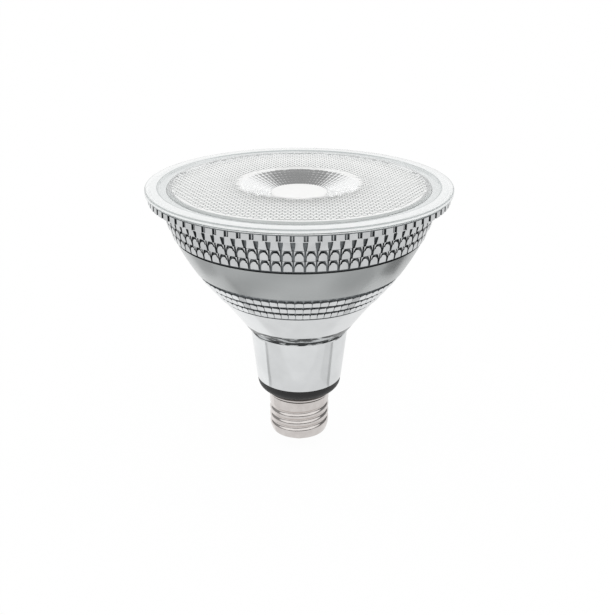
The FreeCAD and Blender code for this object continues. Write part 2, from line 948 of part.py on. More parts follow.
piece(make_centre_contact())
piece(make_base_insulator())
piece(make_screw_shell())
piece(make_base_collar())
piece(make_live_wire())
piece(make_neutral_wire())
piece(make_reflector_body())
piece(make_rim_seal())
piece(make_front_lens())
piece(make_centre_window())
piece(make_dish_reflector())
piece(make_inner_reflector())
piece(make_led_phosphor())
piece(make_led_chip())
piece(make_led_board())
piece(make_board_screws())
piece(make_thermal_pad())
piece(make_heat_sink())
piece(make_driver_sleeve())
piece(make_driver_board())
piece(make_bridge_rectifier())
piece(make_control_chip())
piece(make_power_transistor())
piece(make_fuse_resistor())
piece(make_varistor())
piece(make_film_capacitor())
piece(make_electrolytic_capacitor())
piece(make_transformer_core())
piece(make_transformer_winding())
piece(make_board_lead("positive_lead", -1))
piece(make_board_lead("negative_lead", 1))

doc.recompute()

for item in doc.Objects:
    if "Invalid" in item.State or "Error" in item.State:
        raise RuntimeError("%s did not compute: %s" % (item.Label, item.State))
for item in pieces:
    if item.Shape.isNull() or not item.Shape.isValid():
        raise RuntimeError("%s has no valid shape" % item.Label)

os.makedirs("parts", exist_ok=True)
for item in pieces:
    item.Shape.exportStep("parts/%s.step" % item.Label)
    print("%-24s %2d solid(s) %10.1f mm3" % (
        item.Label, len(item.Shape.Solids), item.Shape.Volume))
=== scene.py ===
# %% [markdown]
# A silvered spotlight lamp, dressed over its CAD frame.
# %% Load the frame
import json
import math

import bmesh
import bpy
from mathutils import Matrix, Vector

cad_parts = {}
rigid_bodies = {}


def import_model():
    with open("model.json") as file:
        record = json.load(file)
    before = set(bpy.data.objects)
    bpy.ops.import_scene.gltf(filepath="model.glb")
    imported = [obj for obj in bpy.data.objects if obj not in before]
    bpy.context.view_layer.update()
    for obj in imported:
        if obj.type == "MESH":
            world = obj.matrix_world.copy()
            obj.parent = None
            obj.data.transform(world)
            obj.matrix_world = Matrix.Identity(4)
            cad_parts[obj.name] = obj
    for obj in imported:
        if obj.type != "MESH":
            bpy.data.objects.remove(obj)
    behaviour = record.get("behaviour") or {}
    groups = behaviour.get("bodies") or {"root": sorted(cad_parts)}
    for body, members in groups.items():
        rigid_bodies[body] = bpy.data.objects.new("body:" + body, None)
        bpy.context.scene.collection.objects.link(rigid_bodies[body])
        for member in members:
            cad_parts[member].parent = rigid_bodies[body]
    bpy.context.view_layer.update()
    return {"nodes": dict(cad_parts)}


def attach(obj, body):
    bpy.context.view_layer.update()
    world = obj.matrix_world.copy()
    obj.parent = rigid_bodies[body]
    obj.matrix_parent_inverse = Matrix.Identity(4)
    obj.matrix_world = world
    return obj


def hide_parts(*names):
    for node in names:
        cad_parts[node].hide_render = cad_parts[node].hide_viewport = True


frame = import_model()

MM = 0.001


# %% [markdown]
# Hand tools. A piece starts as one vertex that is extruded from point to point, as
# with E in the viewport. The open or closed line is then filled and given a
# thickness, or spun about the lamp's axis. An operator acts on all that is selected,
# so each piece is selected alone before it is worked on.
# %% Draw, fill and spin
def select_only(item):
    """Make one piece the active and the only selected one."""
    bpy.ops.object.select_all(action="DESELECT")
    item.select_set(True)
    bpy.context.view_layer.objects.active = item


def finish_object(name):
    """Leave edit mode, put the piece's place into its mesh and name it."""
    bpy.ops.object.mode_set(mode="OBJECT")
    bpy.ops.object.transform_apply(location=True, rotation=True, scale=True)
    item = bpy.context.object
    item.name = name
    item.data.name = name
    return item


def draw_line(points, closed):
    """One vertex, extruded through a list of points in millimetres."""
    bpy.ops.object.select_all(action="DESELECT")
    bpy.ops.mesh.primitive_plane_add(size=MM, location=(0, 0, 0))
    bpy.ops.object.mode_set(mode="EDIT")
    bpy.ops.mesh.merge(type="CENTER")
    bpy.ops.transform.translate(value=Vector(points[0]) * MM)
    stops = list(points[1:]) + ([points[0]] if closed else [])
    here = Vector(points[0])
    for stop in stops:
        step = (Vector(stop) - here) * MM
        bpy.ops.mesh.extrude_region_move(TRANSFORM_OT_translate={"value": step})
        here = Vector(stop)
    bpy.ops.mesh.select_all(action="SELECT")
    bpy.ops.mesh.remove_doubles(threshold=0.001 * MM)


def spin_piece(name, outline, steps, closed=True):
    """A half section, given as (radius, height) points, spun about the axis."""
    draw_line([(radius, 0, height) for radius, height in outline], closed)
    bpy.ops.mesh.spin(steps=steps, angle=2 * math.pi, center=(0, 0, 0), axis=(0, 0, 1))
    bpy.ops.mesh.select_all(action="SELECT")
    bpy.ops.mesh.remove_doubles(threshold=0.002 * MM)
    bpy.ops.mesh.normals_make_consistent(inside=False)
    return finish_object(name)


def plate(name, outline, thickness, bevel):
    """A flat plate facing -Y, from its outline in (across, up), with a soft front edge."""
    draw_line([(across, 0, up) for across, up in outline], True)
    bpy.ops.mesh.edge_face_add()
    bpy.ops.mesh.extrude_region_move(TRANSFORM_OT_translate={"value": (0, -thickness * MM, 0)})
    if bevel:
        bpy.ops.mesh.bevel(offset=bevel * MM, segments=1, affect="EDGES")
    bpy.ops.mesh.select_all(action="SELECT")
    bpy.ops.mesh.normals_make_consistent(inside=False)
    return finish_object(name)


def arc(radius, first, last, count, centre=(0, 0), squash=1.0):
    """Points on a round stretch, from one angle in degrees to another."""
    points = []
    for step in range(count + 1):
        angle = math.radians(first + (last - first) * step / count)
        points.append((centre[0] + radius * math.cos(angle),
                       centre[1] + squash * radius * math.sin(angle)))
    return points


def join_pieces(name, items):
    """Several objects as one, as with Ctrl+J."""
    bpy.ops.object.select_all(action="DESELECT")
    for item in items:
        item.select_set(True)
    bpy.context.view_layer.objects.active = items[0]
    bpy.ops.object.join()
    items[0].name = name
    items[0].data.name = name
    return items[0]


def round_the_axis(item, count):
    """Copy one sector of a piece round the lamp, a copy in each of count places."""
    select_only(item)
    bpy.ops.object.mode_set(mode="EDIT")
    bpy.ops.mesh.select_all(action="SELECT")
    bpy.ops.mesh.spin(steps=count - 1, angle=2 * math.pi * (count - 1) / count,
                      dupli=True, center=(0, 0, 0), axis=(0, 0, 1))
    bpy.ops.object.mode_set(mode="OBJECT")


def smooth(item, degrees):
    """Shade smooth except at edges sharper than an angle."""
    select_only(item)
    bpy.ops.object.shade_smooth_by_angle(angle=math.radians(degrees))


def triangles(item):
    """How many triangles a piece has."""
    item.data.calc_loop_triangles()
    return len(item.data.loop_triangles)


# %% [markdown]
# Colours are written as sRGB hex, as they are seen on a screen, and turned to the
# linear values that the shader mixes. One small function adds a node with its
# settings and its links, and every material below is made with it.
# %% Colour and nodes
def colour(hex_code):
    """An sRGB hex colour as linear red, green, blue and alpha."""
    channels = [int(hex_code[start:start + 2], 16) / 255 for start in (0, 2, 4)]
    return [value / 12.92 if value <= 0.04045 else ((value + 0.055) / 1.055) ** 2.4
            for value in channels] + [1.0]


def new_material(name, **settings):
    """A Principled material, its constant values set on the shader's own sockets."""
    material = bpy.data.materials.new(name)
    material.use_nodes = True
    shader = material.node_tree.nodes["Principled BSDF"]
    for socket, value in settings.items():
        shader.inputs[socket.replace("_", " ")].default_value = value
    return material, shader


def add_node(material, kind, settings=None, links=None):
    """A node with its settings, linked from other nodes' outputs."""
    node = material.node_tree.nodes.new(kind)
    for key, value in (settings or {}).items():
        if isinstance(key, int) or key in node.inputs:
            node.inputs[key].default_value = value
        else:
            setattr(node, key, value)
    for key, output in (links or {}).items():
        material.node_tree.links.new(output, node.inputs[key])
    return node


def join_nodes(material, output, socket):
    """A link from a node's output to another node's socket."""
    material.node_tree.links.new(output, socket)


def ramp(material, value, stops):
    """A colour ramp fed by a value, its stops given as (place, hex colour)."""
    node = add_node(material, "ShaderNodeValToRGB", links={"Fac": value})
    elements = node.color_ramp.elements
    while len(elements) < len(stops):
        elements.new(0.5)
    for element, (place, code) in zip(elements, stops):
        element.position = place
        element.color = colour(code)
    return node.outputs["Color"]


def grain(material, size_mm, detail=2.0, flat=1.0):
    """A noise whose lumps are about size_mm across and flattened in height by flat."""
    place = add_node(material, "ShaderNodeTexCoord")
    squash = add_node(material, "ShaderNodeMapping", {"Scale": (1.0, 1.0, flat)},
                      {"Vector": place.outputs["Object"]})
    noise = add_node(material, "ShaderNodeTexNoise",
                     {"Scale": 1.0 / (size_mm * MM), "Detail": detail},
                     {"Vector": squash.outputs["Vector"]})
    return noise.outputs["Fac"]


def bump(material, shader, height, strength, distance_mm, socket="Normal"):
    """Relief from a height, at its real depth."""
    relief = add_node(material, "ShaderNodeBump",
                      {"Strength": strength, "Distance": distance_mm * MM},
                      {"Height": height})
    join_nodes(material, relief.outputs["Normal"], shader.inputs[socket])


def between(material, value, low, high):
    """A 0 to 1 value moved to a range."""
    node = add_node(material, "ShaderNodeMapRange",
                    {"From Min": 0.3, "From Max": 0.7, "To Min": low, "To Max": high},
                    {"Value": value})
    return node.outputs["Result"]


# %% [markdown]
# Silvered glass is pressed glass with an aluminium film. The eye gets a bright,
# slightly wavy mirror, because pressed glass is never as flat as float glass. It
# could be a glass shell over a metal one, but one metallic surface with a clear coat
# gives the same light and stays clean when the mould's blocks break it up.
# %% Silvered glass
def metal_film(name, lump_mm, tones, gloss, detail=2.0, flat=1.0, stops=(0.3, 0.7), **coat):
    """A metal film whose tone and gloss wander over lumps of a real size."""
    material, shader = new_material(name, Metallic=1.0, **coat)
    lumps = grain(material, lump_mm, detail, flat)
    join_nodes(material, ramp(material, lumps, list(zip(stops, tones))),
               shader.inputs["Base Color"])
    join_nodes(material, between(material, lumps, *gloss), shader.inputs["Roughness"])
    return material, shader


silvered_glass, shader = metal_film("silvered_glass", 9.0, ("E2E4E5", "EBEDEE"), (0.07, 0.14),
                                    Coat_Weight=0.3, Coat_Roughness=0.03)
bump(silvered_glass, shader, grain(silvered_glass, 14.0, 1.0), 0.25, 0.5)

# The tall blocks are thick glass, so their film looks a shade darker and softer.
block_silver, shader = metal_film("block_silver", 5.0, ("D2D4D5", "E0E2E3"), (0.1, 0.18),
                                  Coat_Weight=0.3, Coat_Roughness=0.03)

# The wide band has no blocks; its film is painted greyer, as painted shade for the shaded floor
# it mirrors, and is less glossy.
band_painted_shade, shader = metal_film("band_painted_shade", 26.0, ("A2A5A5", "C3C6C6"), (0.22, 0.3),
                                 detail=1.0, Coat_Weight=0.3, Coat_Roughness=0.05)
bump(band_painted_shade, shader, grain(band_painted_shade, 18.0, 1.0), 0.2, 0.5)

# In the grooves between the blocks the film is painted dark, as painted shade.
groove_painted_shade, shader = metal_film("groove_painted_shade", 0.8, ("666A6C", "868A8C"), (0.35, 0.5))

# The shallow rows near the cone have grooves that are less deep, so their painted shade is
# lighter.
shallow_painted_shade, shader = metal_film("shallow_painted_shade", 0.8, ("8C9092", "A8ABAD"), (0.25, 0.4))

# Where the cone meets the neck, dark squiggles are painted into the film as a painted reflection.
seam_painted_reflection, shader = metal_film("seam_painted_reflection", 6.0, ("3A3C3D", "D4D7D8"), (0.15, 0.35),
                                 detail=3.0, flat=5.0, stops=(0.5, 0.6))

# Under the lens's rim the glass is bonded with clear silicone over a white undercoat.
bonded_white, shader = new_material("bonded_white", Base_Color=colour("F7F8F8"))
join_nodes(bonded_white, between(bonded_white, grain(bonded_white, 2.0), 0.35, 0.5),
           shader.inputs["Roughness"])

# %% [markdown]
# The bowl is one pressed piece of glass. Its smooth wall is a half section spun
# about the axis. Where the rows of blocks stand, the wall is set back to the floor
# of the grooves, and the blocks are put on afterwards, one sector at a time.
# %% Sizes of the bowl, in millimetres
BLOCKS = 80
FLANGE_TOP = 114.8
FLANGE_BOTTOM = 112.09
FLANGE_RADIUS = 60.0
HIGH_ROW = 4.53
HIGH_START = 98.5
HIGH_RADIUS = 50.95
HIGH_GROWTH = 1.75
LOW_ROW = 3.65
LOW_START = 73.1
LOW_RADIUS = 34.6
LOW_GROWTH = 2.9
BAND_BOTTOM = 84.1
OVERHANG = 0.45
SETBACK = 0.35
HIGH_DEPTH = 0.9
LOW_DEPTH = 0.6
NECK_TOP = 54.8
NECK_BOTTOM = 31.3
MOUTH_BORE = 52.6
MOUTH_LEDGE = 109.2


def high_row(number):
    """The lower and upper (radius, height) of one of the tall rows, from the lowest up."""
    level = HIGH_START + HIGH_ROW * number
    radius = HIGH_RADIUS + HIGH_GROWTH * number
    return (radius + OVERHANG, level), (radius + HIGH_GROWTH - SETBACK, level + HIGH_ROW)


def low_row(number):
    """The same for one of the shallow rows under the band."""
    level = LOW_START + LOW_ROW * number
    radius = LOW_RADIUS + LOW_GROWTH * number
    return (radius + OVERHANG, level), (radius + LOW_GROWTH - SETBACK, level + LOW_ROW)


def floor_points(row, count, depth):
    """The floor of the grooves behind the rows of blocks."""
    points = []
    for number in range(count):
        (low_radius, low_level), (high_radius, high_level) = row(number)
        points += [(low_radius - depth, low_level), (high_radius - depth, high_level)]
    return points


def curve_points(first, middle, last, count):
    """A gentle curve through three (radius, height) points."""
    points = []
    for step in range(1, count):
        share = step / count
        weights = (2 * (share - 0.5) * (share - 1), 4 * share * (1 - share),
                   2 * share * (share - 0.5))
        points.append(tuple(sum(weight * point[axis] for weight, point
                                in zip(weights, (first, middle, last)))
                            for axis in (0, 1)))
    return points


# %% Spin the smooth wall
NECK_LOW = (18.35, NECK_BOTTOM)
NECK_EDGE = 0.3
NECK_HIGH = (20.65, 53.4)
NECK_CURL = [(20.78, 54.3), (20.72, 54.9), (20.95, 55.45), (21.45, 55.95)]
CONE_LOW = (22.5, 56.6)
CONE_MIDDLE = (28.3, 64.6)
LIP_DROP = 1.45
LIP_SLOPE = 0.1
CONE_TOP = (LOW_RADIUS - 0.9, LOW_START - LIP_DROP)
CONE_RECESS = CONE_TOP[0] - 0.4
BAND_LOW = (43.5, BAND_BOTTOM)
BAND_LEDGE = 0.5
BAND_MIDDLE = (47.55, 91.0)
BAND_HIGH = (HIGH_RADIUS - 0.55, HIGH_START - LIP_DROP)
BAND_RECESS = BAND_HIGH[0] - 0.8
FLANGE_LIP = FLANGE_RADIUS - 0.35
FLANGE_ROOT = FLANGE_RADIUS - 1.0
FLANGE_EDGE = FLANGE_RADIUS - 0.05
FLANGE_CAP = FLANGE_TOP - 0.4
outer = [(NECK_LOW[0] - NECK_EDGE, NECK_BOTTOM), (NECK_LOW[0], NECK_BOTTOM + NECK_EDGE)]
outer += [NECK_HIGH] + NECK_CURL
outer += [CONE_LOW] + curve_points(CONE_LOW, CONE_MIDDLE, CONE_TOP, 6) + [CONE_TOP]
outer += [(CONE_RECESS, CONE_TOP[1] + LIP_SLOPE), (CONE_RECESS, LOW_START)]
outer += floor_points(low_row, 3, LOW_DEPTH)
outer += [(BAND_LOW[0] - BAND_LEDGE, BAND_BOTTOM), BAND_LOW]
outer += curve_points(BAND_LOW, BAND_MIDDLE, BAND_HIGH, 10) + [BAND_HIGH]
outer += [(BAND_RECESS, BAND_HIGH[1] + LIP_SLOPE), (BAND_RECESS, HIGH_START)]
outer += floor_points(high_row, 3, HIGH_DEPTH)
outer += [(FLANGE_LIP, FLANGE_BOTTOM), (FLANGE_LIP, FLANGE_BOTTOM + 0.22),
          (FLANGE_ROOT, FLANGE_BOTTOM + 0.3), (FLANGE_ROOT, FLANGE_CAP),
          (FLANGE_EDGE, FLANGE_CAP), (FLANGE_EDGE, FLANGE_TOP)]
inner = [(MOUTH_BORE, FLANGE_TOP), (MOUTH_BORE, MOUTH_LEDGE), (51.0, MOUTH_LEDGE),
         (48.35, HIGH_START), (40.7, BAND_BOTTOM), (39.1, BAND_BOTTOM), (32.0, LOW_START),
         (19.1, 56.0), (18.05, NECK_TOP), (15.75, NECK_BOTTOM)]
wall = spin_piece("bowl_wall", outer + inner, 160)

# %% Give each zone of the wall its film, its painted shade or its painted reflection
SILVERED, GROOVE_SHADE, BAND_SHADE, SEAM_REFLECTION, SHALLOW_SHADE, BONDED = range(6)
for material in (silvered_glass, groove_painted_shade, band_painted_shade, seam_painted_reflection, shallow_painted_shade,
                 bonded_white):
    wall.data.materials.append(material)
SEAM_ZONE = (54.1, 58.0)
LOW_ZONE = (CONE_TOP[1] + 0.05, BAND_BOTTOM - 0.02)
HIGH_ZONE = (BAND_HIGH[1] + 0.02, FLANGE_TOP)
LIP_MIDDLE = FLANGE_BOTTOM + 0.11
BONDED_FROM = 109.0
for face in wall.data.polygons:
    height = face.center.z / MM
    radius = math.hypot(face.center.x, face.center.y) / MM
    outwards = (face.normal.x * face.center.x + face.normal.y * face.center.y) / MM / radius
    if outwards < 0.1 and face.normal.z > -0.5:
        face.material_index = BONDED if height > BONDED_FROM else SILVERED
        continue
    # The band gets its film painted grey as shade.
    if BAND_BOTTOM <= height <= BAND_HIGH[1]:
        face.material_index = BAND_SHADE
    # Behind the rows of blocks the wall is the floor of the grooves, painted dark as shade; at
    # the seam it gets a painted reflection.
    for slot, (low, high) in ((SEAM_REFLECTION, SEAM_ZONE), (SHALLOW_SHADE, LOW_ZONE), (GROOVE_SHADE, HIGH_ZONE)):
        if low < height < high:
            face.material_index = slot
    if abs(height - LIP_MIDDLE) < 0.1 and radius > FLANGE_RADIUS - 0.5:
        face.material_index = SILVERED
smooth(wall, 24)
print("bowl wall:", triangles(wall), "triangles")

# %% [markdown]
# The blocks catch the light, and the grooves between them are painted dark as shade.
# One sector has five blocks one above another: a square one on the flange, a flared
# one under it, and two arched tongues with a small ear at each upper corner. They are
# drawn as flat plates at the origin, leant to the wall's slope, then copied 80 times.
# %% Lean and paint a plate
# The sides of each plate get the painted shade of the grooves.
FACE_MATERIAL = 0
SHADED_SIDE = 1


def on_wall(item, low, high, depth):
    """Lean a plate that was made at the origin against the wall between two points."""
    run = high[0] - low[0]
    rise = high[1] - low[1]
    item.rotation_euler = (math.atan2(run, rise), 0, 0)
    item.location = (0, -(low[0] - depth) * MM, low[1] * MM)
    select_only(item)
    bpy.ops.object.transform_apply(location=True, rotation=True, scale=True)


def paint_plate(item, sides, film=block_silver, shade=groove_painted_shade):
    """The front of a plate gets the bright film, and its sides the painted shade of the grooves.
    """
    for material in (film, shade):
        item.data.materials.append(material)
    for face in item.data.polygons:
        facing = -face.normal.y > 0.5
        face.material_index = FACE_MATERIAL if facing or not sides else SHADED_SIDE


def mirrored(points):
    """An outline's right half with its left half, from the bottom right round."""
    return list(points) + [(-across, up) for across, up in reversed(points) if across > 0.001]


# %% Blocks on the flange and under it
BLOCK_BEVEL = 0.1
BLOCK_WALL = HIGH_DEPTH + 0.3
SQUARE = [(1.55, 0.0), (1.52, FLANGE_TOP - FLANGE_BOTTOM - 0.35)]
SQUARE_WALL = 1.25
RIB = [(0.11, 0.25), (0.11, 2.6)]
RIB_WALL = 0.5
RIB_DEPTH = 1.05
FLARED = [(1.7, 0.0), (1.62, 0.4), (1.46, 1.2), (1.32, 2.3), (1.2, HIGH_ROW)]
FLANGE_FACE = ((FLANGE_RADIUS, FLANGE_BOTTOM), (FLANGE_RADIUS, FLANGE_TOP))

square = plate("square_block", mirrored(SQUARE), SQUARE_WALL, BLOCK_BEVEL)
paint_plate(square, True)
on_wall(square, *FLANGE_FACE, SQUARE_WALL)

# A thin rib stands half way between two square blocks.
rib = plate("flange_rib", mirrored(RIB), RIB_WALL, 0)
paint_plate(rib, False)
on_wall(rib, *FLANGE_FACE, RIB_DEPTH)
rib.rotation_euler = (0, 0, math.pi / BLOCKS)
bpy.ops.object.transform_apply(location=False, rotation=True, scale=False)

flared = plate("flared_block", mirrored(FLARED), BLOCK_WALL, BLOCK_BEVEL)
paint_plate(flared, True)
on_wall(flared, *high_row(2), BLOCK_WALL)

# %% Arched tongues with their ears, and the sector copied round
TONGUE_HALF = 1.58
TONGUE_LEG = 1.15
TONGUE_ARCH = 2.1
TONGUE_BEVEL = 0.12
EAR_TOP = HIGH_ROW - 0.35
EAR = [(1.76, 2.2), (1.76, EAR_TOP), (0.9, EAR_TOP), (1.3, 3.7), (1.56, 3.0)]
arch = [(across, TONGUE_LEG + up) for across, up
        in arc(TONGUE_HALF, 0, 90, 5, squash=TONGUE_ARCH / TONGUE_HALF)]
sector = [square, rib, flared]
for number in (0, 1):
    tongue = plate("tongue_block", mirrored([(TONGUE_HALF, 0.0)] + arch), BLOCK_WALL,
                   TONGUE_BEVEL)
    paint_plate(tongue, True)
    on_wall(tongue, *high_row(number), BLOCK_WALL)
    sector.append(tongue)
    for side in (1, -1):
        ear = plate("ear_block", [(side * across, up) for across, up in EAR], HIGH_DEPTH, 0)
        paint_plate(ear, True)
        on_wall(ear, *high_row(number), HIGH_DEPTH)
        sector.append(ear)

tall_blocks = join_pieces("tall_blocks", sector)
round_the_axis(tall_blocks, BLOCKS)
print("tall blocks:", triangles(tall_blocks), "triangles")

# %% [markdown]
# Under the band the rows are shallow, more like shingles on a roof: each tile is
# bright, its upper corners are rounded, and its lower edge bows out a little, which
# gives the row the scalloped edge that shows against the cone.
# %% One sector of shallow tiles
LOW_SLANT = math.hypot(LOW_ROW, LOW_GROWTH - SETBACK - OVERHANG)
TILE_TOP = LOW_SLANT * 0.6
TILE_WALL = LOW_DEPTH + 0.25
TILE_GAP = 0.1
low_sector = []
for number in range(3):
    half = (LOW_RADIUS + LOW_GROWTH * (number + 0.3)) * math.pi / BLOCKS - TILE_GAP
    outline = [(0.0, -0.12), (half * 0.7, -0.06), (half, 0.08), (half, TILE_TOP * 0.7),
               (half * 0.88, TILE_TOP * 0.88), (half * 0.5, TILE_TOP * 0.97), (0.0, TILE_TOP)]
    tile = plate("tile", mirrored(outline), TILE_WALL, BLOCK_BEVEL)
    # The tiles' sides get the lighter painted shade of the shallow grooves.
    paint_plate(tile, True, silvered_glass, shallow_painted_shade)
    on_wall(tile, *low_row(number), TILE_WALL)
    low_sector.append(tile)
low_tiles = join_pieces("low_tiles", low_sector)
round_the_axis(low_tiles, BLOCKS)
print("low tiles:", triangles(low_tiles), "triangles")

# %% Join the bowl and let it stand for the CAD node
bowl = join_pieces("silvered_bowl", [wall, tall_blocks, low_tiles])
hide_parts("reflector_body")
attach(bowl, "root")
print("bowl:", triangles(bowl), "triangles")

# %% [markdown]
# The lens is clear moulded glass. Its rim, channel and dish are spun, but its
# working face is a field of small round beads packed like a honeycomb. A bump map
# could hint at them, but the beads are the lens's whole look, so one bead is shaped
# and copied to every place in the ring.
# %% Clear lens glass
def clear_glass(name, code, ior=1.47, coat=0.0):
    """Glass that the eye sees as glass, and that hardly shades what lies under it."""
    material, shader = new_material(name, Base_Color=colour(code), Transmission_Weight=1.0,
                                    IOR=ior, Coat_Weight=coat, Coat_IOR=1.47)
    join_nodes(material, between(material, grain(material, 3.0), 0.0, 0.02),
               shader.inputs["Roughness"])
    rays = add_node(material, "ShaderNodeLightPath")
    lighting = add_node(material, "ShaderNodeMath", {"operation": "MAXIMUM"},
                        {0: rays.outputs["Is Shadow Ray"], 1: rays.outputs["Is Diffuse Ray"]})
    clear = add_node(material, "ShaderNodeBsdfTransparent")
    both = add_node(material, "ShaderNodeMixShader", links={
        0: lighting.outputs[0], 1: shader.outputs[0], 2: clear.outputs[0]})
    join_nodes(material, both.outputs[0], material.node_tree.nodes["Material Output"].inputs[0])
    return material


lens_glass = clear_glass("lens_glass", "FEFFFF")
# Between the beads, in the channel and on its steps the glass is tinted grey: painted shade for
# where it is seen through at a slant.
valley_painted_shade = clear_glass("lens_valleys_painted_shade", "4C5252")
channel_painted_shade = clear_glass("lens_channel_painted_shade", "D6DADA")
step_painted_shade = clear_glass("lens_steps_painted_shade", "A4AAAA")
# The dish's wall is a flat slab, which shines but doesn't bend what is seen through it.
slab_glass = clear_glass("lens_glass_slab", "FEFEFE", ior=1.01, coat=1.0)

# %% Spin the lens's dish wall, rim, channel and spigot
RIM_TOP = 117.0
RIM_BOTTOM = 115.3
RIM_RADIUS = 61.0
FIELD_OUTER = 50.6
FIELD_INNER = 24.6
DISH_RADIUS = 24.1
DISH_LIP = 117.4
DISH_FLOOR = 113.3
WINDOW_HOLE = 11.45
CHANNEL_FLOOR = RIM_TOP - 0.8
RIM_LAND = 60.5
SPIGOT_RADIUS = 52.45
SPIGOT_BORE = 50.45
SPIGOT_END = 110.35


def dome(radius):
    """The height of the lens's face at a radius."""
    share = (FIELD_OUTER - radius) / (FIELD_OUTER - DISH_RADIUS)
    return RIM_TOP + 0.1 + 0.3 * share + 0.8 * share * (1 - share)


# The smooth glass runs on a little way under the first and last beads, a little lower.
UNDERLAP = 1.5
UNDERLAP_DROP = 0.3
under_first = FIELD_INNER + UNDERLAP
under_last = FIELD_OUTER - UNDERLAP
dish_outline = [(WINDOW_HOLE, DISH_FLOOR - 1.0), (WINDOW_HOLE, DISH_FLOOR),
                (DISH_RADIUS - 0.4, DISH_LIP - 0.06), (DISH_RADIUS, DISH_LIP),
                (FIELD_INNER, dome(FIELD_INNER) - 0.15),
                (under_first, dome(under_first) - UNDERLAP_DROP)]
dish_wall = spin_piece("dish_wall", dish_outline, 128, closed=False)
rim_outline = [(under_last, dome(under_last) - UNDERLAP_DROP), (FIELD_OUTER, RIM_TOP),
               (50.95, RIM_TOP + 0.08), (51.9, RIM_TOP), (52.2, CHANNEL_FLOOR),
               (52.5, CHANNEL_FLOOR), (55.45, CHANNEL_FLOOR), (55.8, RIM_TOP - 0.1),
               (56.35, RIM_TOP), (RIM_LAND, RIM_TOP), (60.85, RIM_TOP - 0.12),
               (RIM_RADIUS, RIM_TOP - 0.45), (RIM_RADIUS, RIM_BOTTOM + 0.5),
               (RIM_RADIUS, RIM_BOTTOM + 0.15), (60.85, RIM_BOTTOM), (59.5, RIM_BOTTOM)]
rim = spin_piece("lens_rim", rim_outline, 192, closed=False)
spigot_outline = [(SPIGOT_RADIUS, RIM_BOTTOM), (SPIGOT_RADIUS, SPIGOT_END),
                  (SPIGOT_BORE, SPIGOT_END), (SPIGOT_BORE, RIM_TOP - 2.2)]
spigot = spin_piece("lens_spigot", spigot_outline, 192, closed=False)

# %% Give the lens's pieces their glass, with painted shade on the steps, channel and edges
LENS, STEP_SHADE, CHANNEL_SHADE, SLAB = range(4)
for material in (lens_glass, step_painted_shade, channel_painted_shade, slab_glass):
    rim.data.materials.append(material)
dish_wall.data.materials.append(slab_glass)
spigot.data.materials.append(bonded_white)
CHANNEL_ZONE = (52.3, 55.9)
STEP_ZONES = ((51.95, 52.3), (55.9, 56.35))
for face in rim.data.polygons:
    radius = math.hypot(face.center.x, face.center.y) / MM
    level = face.center.z / MM
    if CHANNEL_ZONE[0] < radius < CHANNEL_ZONE[1] and level > RIM_TOP - 1.0:
        face.material_index = CHANNEL_SHADE
    if any(low < radius < high for low, high in STEP_ZONES):
        face.material_index = STEP_SHADE
    if radius < FIELD_OUTER:
        face.material_index = SLAB
    # The rim's outer edges, top and bottom, get the steps' painted shade.
    if radius > RIM_LAND and (level > RIM_TOP - 0.4 or level < RIM_BOTTOM + 0.45):
        face.material_index = STEP_SHADE

# %% Shape one bead and copy it over the ring
BEAD_PITCH = 2.0
BEAD_STEPS = ((0.14, 0.08), (0.22, 0.08), (0.28, 0.05))
BEAD_CROWN = 0.03
BEAD_SINK = 0.25
VALLEY_HEIGHT = 0.06
bpy.ops.object.select_all(action="DESELECT")
bpy.ops.mesh.primitive_circle_add(vertices=6, radius=BEAD_PITCH / math.sqrt(3) * MM,
                                  fill_type="NGON", location=(0, 0, 0))
bpy.ops.object.mode_set(mode="EDIT")
for thickness, depth in BEAD_STEPS:
    bpy.ops.mesh.inset(thickness=thickness * MM, depth=depth * MM)
bpy.ops.mesh.poke(offset=BEAD_CROWN * MM)
bead = finish_object("bead")
bead.data.materials.append(lens_glass)
bead.data.materials.append(valley_painted_shade)
# The low faces between the beads get the valleys' painted shade.
for face in bead.data.polygons:
    face.material_index = 1 if face.center.z < VALLEY_HEIGHT * MM else 0
places = []
ROW = BEAD_PITCH * math.sqrt(3) / 2
reach = int(FIELD_OUTER / ROW) + 2
for row in range(-reach, reach + 1):
    for column in range(-reach, reach + 1):
        across = BEAD_PITCH * (column + 0.5 * (row % 2))
        along = ROW * row
        radius = math.hypot(across, along)
        if FIELD_INNER + 0.2 < radius < FIELD_OUTER - 0.5:
            places.append((across * MM, along * MM, (dome(radius) - BEAD_SINK) * MM))
spots = bpy.data.meshes.new("bead_places")
spots.from_pydata(places, [], [])
holder = bpy.data.objects.new("bead_places", spots)
bpy.context.collection.objects.link(holder)
bead.parent = holder
holder.instance_type = "VERTS"
select_only(holder)
bpy.ops.object.duplicates_make_real()
beads = [item for item in bpy.context.selected_objects if item.type == "MESH" and item != holder]
print("beads:", len(beads))
bpy.data.objects.remove(holder)
bpy.data.objects.remove(bead)
bead_field = join_pieces("bead_field", beads)
bpy.ops.object.transform_apply(location=True, rotation=True, scale=True)
print("bead field:", triangles(bead_field), "triangles")

# %% Join the lens
lens = join_pieces("beaded_lens", [rim, spigot, dish_wall, bead_field])
bpy.ops.object.mode_set(mode="EDIT")
bpy.ops.mesh.select_all(action="SELECT")
bpy.ops.mesh.remove_doubles(threshold=0.02 * MM)
bpy.ops.object.mode_set(mode="OBJECT")
smooth(lens, 35)
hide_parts("front_lens")
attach(lens, "root")
print("lens:", triangles(lens), "triangles")

